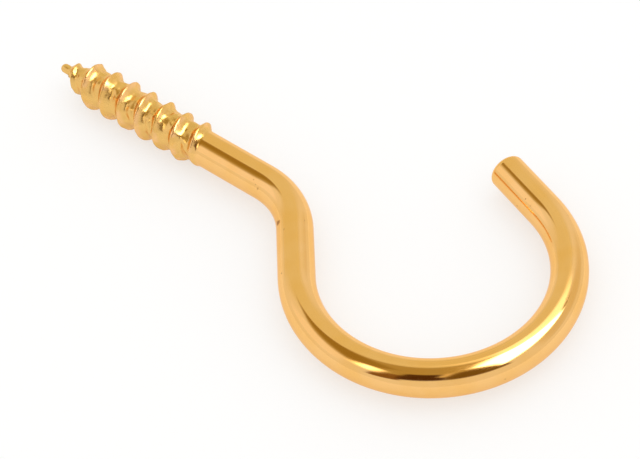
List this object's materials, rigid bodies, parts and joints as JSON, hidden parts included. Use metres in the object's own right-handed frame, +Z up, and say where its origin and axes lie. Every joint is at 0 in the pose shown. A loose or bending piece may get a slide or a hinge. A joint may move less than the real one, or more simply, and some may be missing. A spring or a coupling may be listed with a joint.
{
  "type": "cup hook",
  "caption": "Brass cup hook: round wire with a wood-screw thread at one end, bent into an open ring at the other.",
  "frame": {"origin": "middle of the hook's box in plan, on the surface that it lies on", "axes": "+X along the screw axis from the thread's point towards the ring, +Y in the ring's plane towards the free end of the wire, +Z up, square to the ring's plane"},
  "size_m": [0.051, 0.025, 0.0039],
  "materials": {
    "brass": "polished"
  },
  "bodies": {
    "root": {"cup_hook": "brass"}
  },
  "joints": []
}
